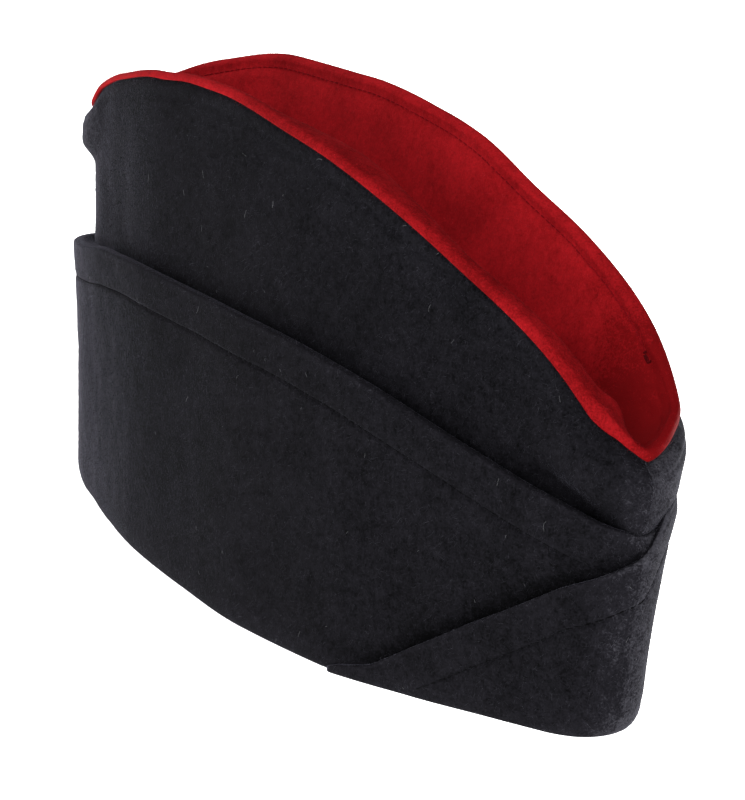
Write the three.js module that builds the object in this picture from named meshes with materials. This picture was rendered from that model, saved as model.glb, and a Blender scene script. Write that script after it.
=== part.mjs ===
// Side cap of felted wool: two crown sides, a sunk top panel and a turned-up cuff in two halves.
// Millimetres. +X points to the front seam, +Y to the wearer's left, +Z up, and the foot rests at z = 0.
import * as THREE from "three";

// Cloth thicknesses and the clearance between neighbouring layers
const CROWN_CLOTH = 1.4;
const TOP_CLOTH = 1.3;
const CUFF_CLOTH = 1.8;
const CLEARANCE = 0.3;
const HALF_SEAM = CLEARANCE / 2;

// Where the core of the hollow ends at the back and the front, at the foot and at the rim
const FOOT_BACK_X = -134.7;
const FOOT_FRONT_X = 124.7;
const RIM_BACK_X = -123.0;
const RIM_FRONT_X = 134.0;
const FRONT_LEAN_POWER = 1.15;

// Distances of the layers out of the core
const CROWN_INSIDE = 1.6;
const CROWN_OUTSIDE = CROWN_INSIDE + CROWN_CLOTH;
const CUFF_INSIDE = CROWN_OUTSIDE + CLEARANCE;
const CUFF_LANE = CUFF_CLOTH + CLEARANCE;
const STRIP_INSIDE = 1.0;

// Fold at the foot, hem of the cuff and the way the cuff opens upward
const FOLD_RADIUS = 2.2;
const FOLD_INNER_RADIUS = FOLD_RADIUS - CUFF_CLOTH;
const HEM_DEPTH = 10.5;
const HEM_EXTRA = 0.9;
const EDGE_ROUND = 0.5;
const STAND_POWER = 1.1;
const CROWN_FOOT_Z = CUFF_CLOTH + CLEARANCE;

// Shares that keep a fold, a hem and a rounded edge in proportion where the cuff runs out low
const BEND_SHARE = 0.3;
const LOW_HEM_SHARE = 0.4;
const LOW_EDGE_SHARE = 0.2;

// Rolled edge of the top panel over the crown's upper edge
const ROLL_CENTRE = (CROWN_INSIDE + CROWN_OUTSIDE) / 2;
const ROLL_RADIUS = CROWN_CLOTH / 2 + CLEARANCE + TOP_CLOTH;
const ROLL_SKIRT = 0.3;
const TIP_FLATTEN_WIDTH = 5;
const SPINE_MARGIN = 4;
const VALLEY_POWER = 1.8;
const SPINE_THICKENING = 1.5;

// Fineness of the nets
const LOOP_STEPS = 40;
const ROLL_STEPS = 6;
const VALLEY_STEPS = 6;
const CROWN_SHARES = [0, 0.24, 0.44, 0.6, 0.72, 0.81, 0.87, 0.9, 0.925, 0.95, 0.975, 1];
const CUFF_SHARES = [0.33, 0.67];
const HALF_LOOP_STEP = 0.5 / LOOP_STEPS;
const NORMAL_STEP = 1e-3;
const SAME_POINT = 1e-4;

// Sections from the back seam (along 0) to the front seam (along 1).
// foot, rim: half widths of the core; top: height of the crest; cuff: height of the turned-up edge.
// stand: how far that edge stands off; drift: sideways lean of the rim; sink: depth of the valley.
// shoulder: extra width of the right-hand roll toward the valley.
const SECTION_COLUMNS = ["along", "foot", "rim", "top", "cuff", "stand", "drift", "sink", "shoulder"];
const SECTIONS = [
  [0.0, 0.0, 0.0, 112.5, 74.4, 4.0, 0.0, 0, 0.0],
  [0.02, 2.6, 3.6, 115.4, 74.8, 4.0, 0.0, 1, 0.0],
  [0.07, 5.4, 7.6, 121.6, 76.2, 3.8, 0.0, 5, 0.0],
  [0.16, 11.6, 13.2, 129.2, 79.8, 3.4, 0.0, 18, 0.0],
  [0.28, 19.4, 18.2, 134.4, 81.6, 2.8, 0.0, 36, 2.4],
  [0.42, 25.0, 19.4, 134.2, 81.2, 2.6, 0.1, 46, 4.2],
  [0.56, 28.5, 19.8, 129.2, 80.0, 2.8, 0.4, 49, 3.0],
  [0.7, 25.4, 18.4, 119.4, 76.2, 3.4, 1.6, 43, 3.2],
  [0.82, 16.8, 16.4, 105.6, 68.4, 3.4, 4.4, 33, 4.6],
  [0.91, 9.8, 13.2, 90.6, 60.6, 2.4, 7.0, 20.5, 5.2],
  [0.97, 5.0, 9.0, 77.8, 55.6, 1.8, 6.8, 9.5, 3.0],
  [1.0, 0.0, 0.0, 69.0, 50.5, 1.4, 2.4, 1, 0.0],
];

// Upper edge of the left cuff, from the left side (round above 1) over the front seam (round 1)
// and slanting down to the foot on the right side (round below 1)
const FLAP = [
  { round: 0.64, edge: 3.4 },
  { round: 0.669, edge: 4.8 },
  { round: 0.696, edge: 8.6 },
  { round: 0.741, edge: 17.1 },
  { round: 0.798, edge: 25.9 },
  { round: 0.867, edge: 33.9 },
  { round: 0.938, edge: 41.2 },
  { round: 0.975, edge: 43.8 },
  { round: 1.0, edge: 48.2 },
  { round: 1.022, edge: 54.8 },
  { round: 1.06, edge: 59.2 },
  { round: 1.13, edge: 61.0 },
  { round: 1.25, edge: 67.4 },
  { round: 1.36, edge: 75.4 },
];
const FLAP_END = FLAP[0].round;
const FLAP_START = FLAP[FLAP.length - 1].round;

// Before the front seam the left cuff moves out to the lane over the right cuff,
// and its foot strip narrows away
const LANE_FROM = 0.86;
const LANE_FULL = 0.925;
const STRIP_FROM = 0.8;
const STRIP_NONE = 0.875;
const TUCK_END = 0.95;

// Soft folds of the crown sides: place along and up, reach each way, and the push outward
const FOLDS = [
  { name: "back seam knob", sides: [-1, 1], along: 0, up: 0.9, reach: 0.035, rise: 0.08, push: 3.2 },
  { name: "front bulge", sides: [-1, 1], along: 1, up: 0.84, reach: 0.16, rise: 0.115, push: 3.4 },
  { name: "hollow above the cuff", sides: [-1], along: 0.83, up: 0.74, reach: 0.16, rise: 0.16, push: -2.2 },
];

// Smooth curve through a table's column that never overshoots its rows
function curveThrough(xs, ys) {
  const n = xs.length;
  const gaps = xs.slice(1).map((x, i) => x - xs[i]);
  const slopes = gaps.map((g, i) => (ys[i + 1] - ys[i]) / g);
  const turns = ys.map(() => 0);
  for (let i = 1; i < n - 1; i++) {
    if (slopes[i - 1] * slopes[i] > 0) {
      const before = 2 * gaps[i] + gaps[i - 1];
      const after = gaps[i] + 2 * gaps[i - 1];
      turns[i] = (before + after) / (before / slopes[i - 1] + after / slopes[i]);
    }
  }
  turns[0] = slopes[0];
  turns[n - 1] = slopes[n - 2];
  return (x) => {
    let i = 0;
    while (i < n - 2 && x > xs[i + 1]) {
      i += 1;
    }
    const g = gaps[i];
    const t = Math.min(Math.max((x - xs[i]) / g, 0), 1);
    const rest = 1 - t;
    const ends = ys[i] * (1 + 2 * t) * rest * rest + ys[i + 1] * t * t * (3 - 2 * t);
    return ends + g * (turns[i] * t * rest * rest - turns[i + 1] * t * t * rest);
  };
}

const lerp = THREE.MathUtils.lerp;
const smoothstep = THREE.MathUtils.smoothstep;

// The loop share runs 0..1 over a half circle, so that rows gather at the two blunt ends
const alongOf = (loop) => (1 - Math.cos(Math.PI * loop)) / 2;
const loopOf = (along) => Math.acos(1 - 2 * along) / Math.PI;
const valuesOf = (name) => SECTIONS.map((row) => row[SECTION_COLUMNS.indexOf(name)]);
const sectionLoops = valuesOf("along").map(loopOf);
const column = (name) => curveThrough(sectionLoops, valuesOf(name));
const footWidth = column("foot");
const rimWidth = column("rim");
const topHeight = column("top");
const cuffHeight = column("cuff");
const cuffStand = column("stand");
const rimDrift = column("drift");
const valleySink = column("sink");
const rollShoulder = column("shoulder");
const flapEdge = curveThrough(FLAP.map((row) => row.round), FLAP.map((row) => row.edge));

// Core of the hollow at a loop share and a share of the crest's height: place along X and half width
function core(loop, up) {
  const along = alongOf(loop);
  const atFoot = lerp(FOOT_BACK_X, FOOT_FRONT_X, along);
  const atRim = lerp(RIM_BACK_X, RIM_FRONT_X, along);
  const lean = lerp(1 - (1 - up) ** 2, up ** FRONT_LEAN_POWER, along);
  return { x: lerp(atFoot, atRim, lean), half: lerp(footWidth(loop), rimWidth(loop), up) };
}

// Point at a distance straight out of the core, on the right (side -1) or the left (side 1)
function wallPoint(side, loop, z, out) {
  const up = Math.max(z / topHeight(loop), 0);
  const before = core(Math.max(loop - NORMAL_STEP, 0), up);
  const after = core(Math.min(loop + NORMAL_STEP, 1), up);
  const length = Math.hypot(after.x - before.x, after.half - before.half);
  let alongNormal = -(after.half - before.half) / length;
  let sideNormal = (after.x - before.x) / length;
  if (loop <= 0 || loop >= 1) {
    alongNormal = loop <= 0 ? -1 : 1;
    sideNormal = 0;
  }
  const here = core(loop, up);
  const half = here.half + sideNormal * out + HALF_SEAM;
  return new THREE.Vector3(here.x + alongNormal * out, side * half + rimDrift(loop) * up * up, z);
}

// Push of the soft folds at a place on a crown side, fading to nothing at each fold's reach
function foldPush(side, loop, z) {
  const up = z / topHeight(loop);
  const fade = (distance) => (Math.abs(distance) < 1 ? Math.cos((Math.PI / 2) * distance) ** 2 : 0);
  return FOLDS.filter((fold) => fold.sides.includes(side)).reduce((sum, fold) => {
    const across = fade((alongOf(loop) - fold.along) / fold.reach);
    return sum + fold.push * across * fade((up - fold.up) / fold.rise);
  }, 0);
}

// Closed sheet between two nets of points with rows along the loop.
// A ringed net closes on itself and on its last column.
function sheetGeometry(outer, inner, ringed) {
  const rows = outer.length;
  const columns = outer[0].length;
  const triangles = [];
  const addTriangle = (a, b, c) => {
    const same = (p, q) => p.distanceTo(q) < SAME_POINT;
    if (!same(a, b) && !same(b, c) && !same(a, c)) {
      triangles.push([a, b, c]);
    }
  };
  const addQuad = (a, b, c, d) => {
    addTriangle(a, b, c);
    addTriangle(a, c, d);
  };
  const last = ringed ? rows : rows - 1;
  for (let i = 0; i < last; i++) {
    const next = (i + 1) % rows;
    for (let j = 0; j < columns - 1; j++) {
      addQuad(outer[i][j], outer[next][j], outer[next][j + 1], outer[i][j + 1]);
      addQuad(inner[i][j], inner[i][j + 1], inner[next][j + 1], inner[next][j]);
    }
    addQuad(outer[i][0], inner[i][0], inner[next][0], outer[next][0]);
    if (!ringed) {
      const top = columns - 1;
      addQuad(outer[i][top], outer[next][top], inner[next][top], inner[i][top]);
    }
  }
  if (!ringed) {
    for (let j = 0; j < columns - 1; j++) {
      addQuad(outer[0][j], outer[0][j + 1], inner[0][j + 1], inner[0][j]);
      addQuad(outer[rows - 1][j], inner[rows - 1][j], inner[rows - 1][j + 1], outer[rows - 1][j + 1]);
    }
  }
  const volume = triangles.reduce((sum, [a, b, c]) => sum + a.dot(b.clone().cross(c)), 0);
  const facing = volume > 0 ? triangles : triangles.map(([a, b, c]) => [a, c, b]);
  const numbers = facing.flatMap((corners) => corners.flatMap((p) => [p.x, p.y, p.z]));
  const geometry = new THREE.BufferGeometry();
  geometry.setAttribute("position", new THREE.Float32BufferAttribute(numbers, 3));
  geometry.computeVertexNormals();
  return geometry;
}

const loopShares = Array.from({ length: LOOP_STEPS + 1 }, (_, i) => i / LOOP_STEPS);

// Crown sides
function crownSide(side) {
  const net = (out) =>
    loopShares.map((loop) =>
      CROWN_SHARES.map((share) => {
        const z = lerp(CROWN_FOOT_Z, topHeight(loop) - ROLL_RADIUS, share);
        return wallPoint(side, loop, z, out + foldPush(side, loop, z));
      }),
    );
  return sheetGeometry(net(CROWN_OUTSIDE), net(CROWN_INSIDE), false);
}

// Top panel: rolled over the crown's edge all round, then sunk to a spine along the middle
function topRow(side, loop) {
  const crest = topHeight(loop);
  const open = smoothstep(rimWidth(loop), 0, TIP_FLATTEN_WIDTH);
  const extra = side < 0 ? rollShoulder(loop) : 0;
  const drop = open * (ROLL_RADIUS + extra / 2);
  const points = [];
  for (let k = 0; k <= ROLL_STEPS; k++) {
    const angle = (Math.PI * k) / ROLL_STEPS;
    const inward = angle > Math.PI / 2;
    const reach = inward ? ROLL_RADIUS + extra : ROLL_RADIUS;
    const fall = (inward ? drop : ROLL_RADIUS) * (1 - Math.sin(angle)) + (k === 0 ? ROLL_SKIRT : 0);
    points.push(wallPoint(side, loop, crest - fall, ROLL_CENTRE + reach * Math.cos(angle)));
  }
  const edge = points[ROLL_STEPS];
  const spineX = lerp(RIM_BACK_X + SPINE_MARGIN, RIM_FRONT_X - SPINE_MARGIN, alongOf(loop));
  const spine = new THREE.Vector3(spineX, rimDrift(loop), crest - open * ROLL_RADIUS - valleySink(loop));
  for (let k = 1; k <= VALLEY_STEPS; k++) {
    const share = k / VALLEY_STEPS;
    const point = edge.clone().lerp(spine, share);
    point.z = lerp(spine.z, edge.z, (1 - share) ** VALLEY_POWER);
    points.push(point);
  }
  return points;
}

// The same net moved in by the cloth's thickness along its normals
function thickenedInward(net, thickness) {
  const rows = net.length;
  const columns = net[0].length;
  return net.map((row, i) =>
    row.map((point, j) => {
      if (j === columns - 1) {
        return point.clone().add(new THREE.Vector3(0, 0, -thickness * SPINE_THICKENING));
      }
      const ahead = net[(i + 1) % rows][j].clone().sub(net[(i + rows - 1) % rows][j]);
      const across = row[j + 1].clone().sub(row[Math.max(j - 1, 0)]);
      const normal = ahead.cross(across).normalize();
      return point.clone().addScaledVector(normal, -thickness);
    }),
  );
}

function topPanel() {
  const right = loopShares.map((loop) => topRow(-1, loop));
  const left = loopShares.map((loop) => topRow(1, loop)).reverse();
  const net = right.concat(left);
  return sheetGeometry(net, thickenedInward(net, TOP_CLOTH), true);
}

// Section of a cuff: two rows of points from the foot strip, round the fold and up to the edge.
// lane: 0 next to the crown, 1 over the other cuff; strip: 1 full width under the crown, 0 none.
function cuffSection(side, loop, edge, lane, strip) {
  const inFace = (z) => {
    const rise = Math.max(z / cuffHeight(loop), 0) ** STAND_POWER;
    return CUFF_INSIDE + cuffStand(loop) * rise + lane * CUFF_LANE;
  };
  const outFace = (z) => inFace(z) + CUFF_CLOTH;
  const at = (out, z) => wallPoint(side, loop, z, out);
  const foot = inFace(0);
  const bend = FOLD_RADIUS * BEND_SHARE;
  const stripIn = lerp(foot, STRIP_INSIDE, strip);
  const outer = [
    at(stripIn, 0),
    at(lerp(foot + bend, outFace(0) - FOLD_RADIUS, strip), 0),
    at(outFace(0) - bend, bend),
    at(outFace(FOLD_RADIUS), FOLD_RADIUS),
  ];
  const bendIn = FOLD_INNER_RADIUS * BEND_SHARE;
  const inner = [
    at(stripIn, lerp(bend, CUFF_CLOTH, strip)),
    at(foot - strip * FOLD_INNER_RADIUS, lerp(2 * bend, CUFF_CLOTH, strip)),
    at(foot - strip * bendIn, lerp(CUFF_CLOTH, CUFF_CLOTH + bendIn, strip)),
    at(inFace(FOLD_RADIUS), FOLD_RADIUS),
  ];
  const height = edge - FOLD_RADIUS;
  const hemZ = edge - Math.min(HEM_DEPTH, height * LOW_HEM_SHARE);
  const hem = HEM_EXTRA * strip;
  for (const share of CUFF_SHARES) {
    const z = lerp(FOLD_RADIUS, hemZ, share);
    outer.push(at(outFace(z), z));
    inner.push(at(inFace(z), z));
  }
  const round = Math.min(EDGE_ROUND, height * LOW_EDGE_SHARE);
  outer.push(at(outFace(hemZ), hemZ), at(outFace(edge), edge - round), at(outFace(edge) - round, edge));
  inner.push(at(inFace(hemZ), hemZ), at(inFace(edge) - hem, hemZ + round), at(inFace(edge) - hem, edge));
  return { outer, inner };
}

function cuffGeometry(sections) {
  return sheetGeometry(sections.map((s) => s.outer), sections.map((s) => s.inner), false);
}

// Right cuff: from the back seam, round the front seam and tucked under the left cuff
function rightCuff() {
  const rightSide = loopShares.map((loop) => cuffSection(-1, loop, cuffHeight(loop), 0, 1));
  const tucked = loopShares.filter((loop) => loop >= TUCK_END).reverse();
  return cuffGeometry(rightSide.concat(tucked.map((loop) => cuffSection(1, loop, cuffHeight(1), 0, 1))));
}

// Left cuff: from the back seam, round the front seam and slanting down to the foot over the right cuff
function leftCuff() {
  const leftSide = loopShares.map((loop) => {
    const edge = 2 - loop < FLAP_START ? flapEdge(2 - loop) : cuffHeight(loop);
    const lane = smoothstep(loop, LANE_FROM, LANE_FULL);
    return cuffSection(1, loop, edge, lane, 1 - smoothstep(loop, STRIP_FROM, STRIP_NONE));
  });
  const overRight = loopShares.filter((loop) => loop > FLAP_END + HALF_LOOP_STEP).reverse();
  overRight.push(FLAP_END);
  return cuffGeometry(leftSide.concat(overRight.map((loop) => cuffSection(-1, loop, flapEdge(loop), 1, 0))));
}

const CLOTH_DARK = { color: 0x1b1b20, roughness: 0.95, metalness: 0 };
const CLOTH_RED = { color: 0x9c1620, roughness: 0.92, metalness: 0 };
const PIECES = [
  { name: "crown_right", geometry: crownSide(-1), cloth: CLOTH_DARK },
  { name: "crown_left", geometry: crownSide(1), cloth: CLOTH_DARK },
  { name: "crown_top", geometry: topPanel(), cloth: CLOTH_RED },
  { name: "cuff_right", geometry: rightCuff(), cloth: CLOTH_DARK },
  { name: "cuff_left", geometry: leftCuff(), cloth: CLOTH_DARK },
];

const cap = new THREE.Group();
cap.name = "side_cap";
for (const piece of PIECES) {
  const mesh = new THREE.Mesh(piece.geometry, new THREE.MeshStandardMaterial(piece.cloth));
  mesh.name = piece.name;
  cap.add(mesh);
}

export default cap;
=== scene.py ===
# %% [markdown]
# # A side cap of felted wool
#
# A side cap is a soft cap without a brim, boat shaped when it is opened. This one has two dark sides,
# a red top that sinks into a valley between them, and a cuff that is turned up all round from the foot.
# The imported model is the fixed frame, so each surface below lies where its solid lies, in metres.
# The cloth is worked out again as finer surfaces, because soft edges, stitches and nap are too small
# for the solids.

# %% Load the frame
import math

import bpy
import numpy as np
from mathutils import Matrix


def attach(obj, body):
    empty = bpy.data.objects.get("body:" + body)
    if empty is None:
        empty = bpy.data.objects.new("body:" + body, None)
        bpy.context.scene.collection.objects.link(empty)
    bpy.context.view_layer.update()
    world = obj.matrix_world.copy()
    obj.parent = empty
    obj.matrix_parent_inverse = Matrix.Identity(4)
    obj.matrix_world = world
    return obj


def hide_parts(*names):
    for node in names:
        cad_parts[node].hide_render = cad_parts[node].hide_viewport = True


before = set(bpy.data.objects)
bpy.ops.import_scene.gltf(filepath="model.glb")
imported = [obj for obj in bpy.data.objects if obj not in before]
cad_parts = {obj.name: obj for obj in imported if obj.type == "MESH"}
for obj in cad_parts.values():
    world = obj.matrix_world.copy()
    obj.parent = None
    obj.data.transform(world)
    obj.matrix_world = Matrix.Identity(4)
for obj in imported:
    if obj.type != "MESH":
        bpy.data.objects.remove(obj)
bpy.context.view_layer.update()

# %% [markdown]
# ## One table for the whole cap
#
# A tailor drafts a cap from a few measures taken at stations along its length. The same is done here:
# each row is one station from the back seam to the front seam, and each column is one measure.
# A curve through a column gives the measure anywhere between the stations. A cubic that never
# overshoots its rows was chosen, because an ordinary spline would make the rim wavy.

# %% Stations along the cap, in millimetres
MM = 0.001
COLUMNS = ("along", "foot", "rim", "top", "cuff", "stand", "drift", "sink")
STATIONS = np.array([
    [0.00, 0.0, 0.0, 112.5, 74.4, 4.0, 0.0, 0],
    [0.02, 2.6, 3.6, 115.4, 74.8, 4.0, 0.0, 1],
    [0.07, 6.1, 7.6, 121.6, 76.2, 3.8, 0.0, 5],
    [0.16, 13.1, 13.2, 129.2, 79.8, 3.4, 0.0, 18],
    [0.28, 20.7, 18.2, 134.4, 81.6, 2.8, 0.0, 36],
    [0.42, 26.0, 19.4, 134.2, 81.2, 2.6, 0.1, 46],
    [0.56, 29.5, 19.8, 129.2, 80.0, 2.8, 0.4, 49],
    [0.70, 28.0, 18.4, 119.4, 76.2, 3.4, 1.6, 43],
    [0.82, 19.2, 16.4, 105.6, 68.4, 3.4, 4.4, 33],
    [0.91, 11.0, 13.2, 90.6, 60.6, 2.4, 7.0, 18.0],
    [0.97, 5.5, 8.8, 77.8, 55.6, 1.8, 6.8, 8.0],
    [0.99, 3.6, 5.2, 74.0, 53.3, 1.6, 5.0, 4.6],
    [1.00, 0.0, 0.0, 69.0, 50.5, 1.4, 2.9, 1],
])


def lerp(a, b, share):
    """Straight blend: a at share 0, b at share 1."""
    return a + (b - a) * share


def ease(x, low, high):
    """Smooth step: 0 below low, 1 above high, three t squared less two t cubed between them."""
    t = np.clip((x - low) / (high - low), 0, 1)
    return t * t * (3 - 2 * t)


def bump(x, middle, width):
    """Bell curve: 1 at the middle, falling off as e to the minus squared distance in widths."""
    return np.exp(-(((x - middle) / width) ** 2))


def smooth_curve(xs, ys):
    """Cubic pieces through the points; the slope at a point is the weighted harmonic mean of the two
    slopes beside it, or level where those turn, so the curve never overshoots."""
    xs, ys = np.asarray(xs, float), np.asarray(ys, float)
    gap, rise = np.diff(xs), np.diff(ys) / np.diff(xs)
    before, after = 2 * gap[1:] + gap[:-1], gap[1:] + 2 * gap[:-1]
    goes_on = rise[:-1] * rise[1:] > 0
    left, right = np.where(goes_on, rise[:-1], 1), np.where(goes_on, rise[1:], 1)
    mean = (before + after) / (before / left + after / right)
    slope = np.concatenate([rise[:1], np.where(goes_on, mean, 0), rise[-1:]])

    def at(x):
        i = np.clip(np.searchsorted(xs, x, "right") - 1, 0, len(gap) - 1)
        t = np.clip((x - xs[i]) / gap[i], 0, 1)
        r = 1 - t
        ends = ys[i] * (1 + 2 * t) * r * r + ys[i + 1] * t * t * (3 - 2 * t)
        return ends + gap[i] * (slope[i] * t * r * r - slope[i + 1] * t * t * r)

    return at


def along_of(loop):
    """Share of the length at a loop share: a half circle, so that rows gather at the blunt ends."""
    return (1 - np.cos(np.pi * loop)) / 2


station_loops = np.arccos(1 - 2 * STATIONS[:, 0]) / np.pi
measure = {name: smooth_curve(station_loops, STATIONS[:, i]) for i, name in enumerate(COLUMNS)}
print("crest in the middle:", round(float(measure["top"](0.5)), 1), "mm")

# %% [markdown]
# ## The core that all layers share
#
# Crown, top and cuff lie on each other like the skins of an onion. So there is one core, a lens-shaped
# plan that changes with height, and each cloth surface is a distance straight out of it. That keeps the
# layers parallel and clear of each other, which separate shapes would not.

# %% The core and a wall out of it
FOOT_BACK_X, FOOT_FRONT_X = -134.7, 124.7
RIM_BACK_X, RIM_FRONT_X = -123.0, 134.0
FRONT_LEAN_POWER = 1.15
CLEARANCE = 0.3
LOOP_STEP = 1e-3
RIGHT, LEFT = -1, 1


def core(loop, up):
    """Place along X and half width: straight blends from foot to rim by a lean that bows at the back."""
    along = along_of(loop)
    lean = lerp(1 - (1 - up) ** 2, up**FRONT_LEAN_POWER, along)
    x = lerp(lerp(FOOT_BACK_X, FOOT_FRONT_X, along), lerp(RIM_BACK_X, RIM_FRONT_X, along), lean)
    return x, lerp(measure["foot"](loop), measure["rim"](loop), up)


def wall(side, loop, z, out):
    """Point at a height and a distance out of the core: the core's plan point, plus the distance along
    the plan's normal, plus a sideways drift that grows with the square of the height share."""
    side, loop, z, out = np.broadcast_arrays(side, loop, z, out)
    up = np.maximum(z / measure["top"](loop), 0)
    x0, half0 = core(np.maximum(loop - LOOP_STEP, 0), up)
    x1, half1 = core(np.minimum(loop + LOOP_STEP, 1), up)
    length = np.hypot(x1 - x0, half1 - half0)
    at_end = (loop <= 0) | (loop >= 1)
    normal_x = np.where(at_end, np.where(loop <= 0, -1, 1), -(half1 - half0) / length)
    normal_y = np.where(at_end, 0, (x1 - x0) / length)
    x, half = core(loop, up)
    y = side * (half + normal_y * out) + measure["drift"](loop) * up * up
    return np.stack([x + normal_x * out, y, z], -1)


print("nose at the foot:", wall(RIGHT, 1.0, 0.0, 0.0).round(1).tolist())

# %% [markdown]
# ## The two rolls of the rim
#
# The red edge is sewn to the dark sides all round, and the cloth behind that seam swells to a roll.
# On the far side the roll is slim and even. On the near side it is soft and swells twice, once behind the
# middle and once at the front, where it lies over as a lip with a small kink. A second table gives the
# rolls: how far the rim is lifted, how wide the roll lies inward, how high its outer band stands, how far
# it falls on its inner side, and how steeply the cloth drops behind it.

# %% Rolls, in millimetres along the loop
ROLL_COLUMNS = ("loop", "lift", "wide", "band", "fall", "steep")
ROLL_ROWS = {
    RIGHT: np.array([
        [0.000, 0.3, 2.0, 1.9, 1.5, 1.8],
        [0.080, 1.2, 2.0, 1.9, 1.5, 1.8],
        [0.160, 0.8, 2.0, 1.7, 1.5, 1.8],
        [0.240, -0.5, 2.0, 1.6, 1.6, 1.8],
        [0.320, -1.3, 2.0, 1.7, 1.8, 1.8],
        [0.360, -0.8, 2.0, 1.8, 1.9, 1.8],
        [0.410, 0.7, 2.1, 1.9, 2.0, 1.8],
        [0.490, 0.3, 3.0, 2.0, 2.3, 1.8],
        [0.540, 0.4, 7.2, 2.1, 3.4, 1.8],
        [0.585, 0.7, 10.0, 2.1, 4.0, 1.9],
        [0.640, 0.6, 7.6, 2.1, 3.4, 2.0],
        [0.710, 0.8, 4.4, 2.2, 2.8, 2.2],
        [0.780, 1.8, 5.8, 2.4, 2.8, 2.8],
        [0.840, 2.3, 6.0, 2.6, 2.6, 4.0],
        [0.862, 2.2, 6.4, 3.0, 2.4, 5.0],
        [0.890, 2.0, 8.6, 3.9, 2.2, 6.0],
        [0.910, 1.5, 8.8, 3.5, 2.2, 6.0],
        [0.940, 0.9, 7.0, 2.5, 2.0, 5.0],
        [0.970, 0.5, 4.4, 2.5, 2.0, 4.0],
        [1.000, 0.0, 1.6, 2.9, 1.5, 1.6],
    ]),
    LEFT: np.array([
        [0.000, 0.3, 2.0, 1.9, 1.5, 1.8],
        [0.210, 0.8, 2.1, 1.6, 1.7, 1.8],
        [0.300, 0.3, 2.2, 1.7, 1.8, 1.8],
        [0.360, -0.2, 2.2, 1.8, 1.9, 1.8],
        [0.460, -0.9, 2.3, 1.9, 2.0, 1.8],
        [0.520, -0.4, 2.3, 2.0, 2.0, 1.8],
        [0.580, 0.0, 2.3, 2.0, 2.0, 1.8],
        [0.645, -1.5, 2.3, 2.0, 2.0, 1.8],
        [0.700, -0.5, 2.3, 2.0, 2.0, 1.8],
        [0.770, 0.0, 2.4, 2.0, 2.0, 1.8],
        [0.880, 0.0, 1.4, 2.1, 0.8, 1.3],
        [0.960, 0.0, 1.2, 2.4, 0.5, 1.2],
        [1.000, 0.0, 1.6, 2.9, 1.5, 1.6],
    ]),
}
TIP_SOFTNESS = 0.02
roll = {
    side: {name: smooth_curve(rows[:, 0], rows[:, i]) for i, name in enumerate(ROLL_COLUMNS)}
    for side, rows in ROLL_ROWS.items()
}


def crest_height(side, loop):
    """Height of the rim: the table's crest and the side's lift. The loop's distance to the front tip is
    taken as a hypotenuse, which rounds the point where the two rims meet."""
    return measure["top"](1 - np.hypot(1 - loop, TIP_SOFTNESS)) + roll[side]["lift"](loop)


print("crest at the front tip:", round(float(crest_height(LEFT, 1.0)), 1), "mm")

# %% [markdown]
# ## Turning nets of points into cloth
#
# A piece of cloth is a net of points on its outer face and one on its inner face. Each row of the two
# nets makes a closed ring, and rings are joined along the rows. Arrays of corner numbers do that in one
# go; a loop over faces would be slow at this fineness.

# %% Nets to meshes
def grid_faces(rows, columns, closed_rows=False, closed_columns=False):
    """Corner numbers of a grid's quads: each cell's own corner, the next row's, both, the next column's."""
    i, j = np.meshgrid(
        np.arange(rows - (not closed_rows)), np.arange(columns - (not closed_columns)), indexing="ij"
    )
    below, right = (i + 1) % rows, (j + 1) % columns
    corners = [i * columns + j, below * columns + j, below * columns + right, i * columns + right]
    return np.stack(corners, -1).reshape(-1, 4)


def facing_out(points, faces):
    """The same faces, turned round where the volume that they enclose comes out negative."""
    a, b, c, d = (points[faces[:, k]] for k in range(4))
    volume = (a * np.cross(b, c)).sum() + (a * np.cross(c, d)).sum()
    return faces if volume > 0 else faces[:, ::-1]


def shell(outer, inner):
    """Closed sheet: rows of rings, out along the outer net and back along the inner one, and the two
    end rings shut by quads between the faces. Those quads come last, and their count is given back."""
    ring = np.concatenate([outer, inner[:, ::-1]], axis=1)
    rows, n = ring.shape[:2]
    k = np.arange(n // 2 - 1)
    lid = np.stack([k, k + 1, n - 2 - k, n - 1 - k], -1)
    faces = np.concatenate([grid_faces(rows, n, closed_columns=True), lid, lid[:, ::-1] + (rows - 1) * n])
    points = ring.reshape(-1, 3)
    return points, facing_out(points, faces), 2 * len(lid)


def new_piece(name, points, faces, material, slot, lids=0, **marks):
    """Smooth mesh object at the origin, riding on the cap; all its faces have as many corners as the
    face array has columns. The last faces, as many as there are lids, stay flat, so that they don't bend
    the shading of the cloth beside them. Marks are named values, one per point."""
    mesh = bpy.data.meshes.new(name)
    mesh.vertices.add(len(points))
    mesh.vertices.foreach_set("co", (points * MM).astype(np.float32).ravel())
    mesh.loops.add(faces.size)
    mesh.loops.foreach_set("vertex_index", faces.astype(np.int32).ravel())
    mesh.polygons.add(len(faces))
    mesh.polygons.foreach_set("loop_start", np.arange(0, faces.size, faces.shape[1], dtype=np.int32))
    mesh.polygons.foreach_set("use_smooth", np.arange(len(faces)) < len(faces) - lids)
    for mark, values in marks.items():
        layer = mesh.attributes.new(mark, "FLOAT", "POINT")
        layer.data.foreach_set("value", np.asarray(values, np.float32).ravel())
    mesh.update(calc_edges=True)
    mesh.materials.append(material)
    piece = bpy.data.objects.new(name, mesh)
    bpy.context.scene.collection.objects.link(piece)
    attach(piece, "root")
    triangles = (faces.shape[1] - 2) * len(faces)
    print(f"{name}: {triangles} triangles, size {np.ptp(points, axis=0).round(1).tolist()} mm")
    return piece


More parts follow.
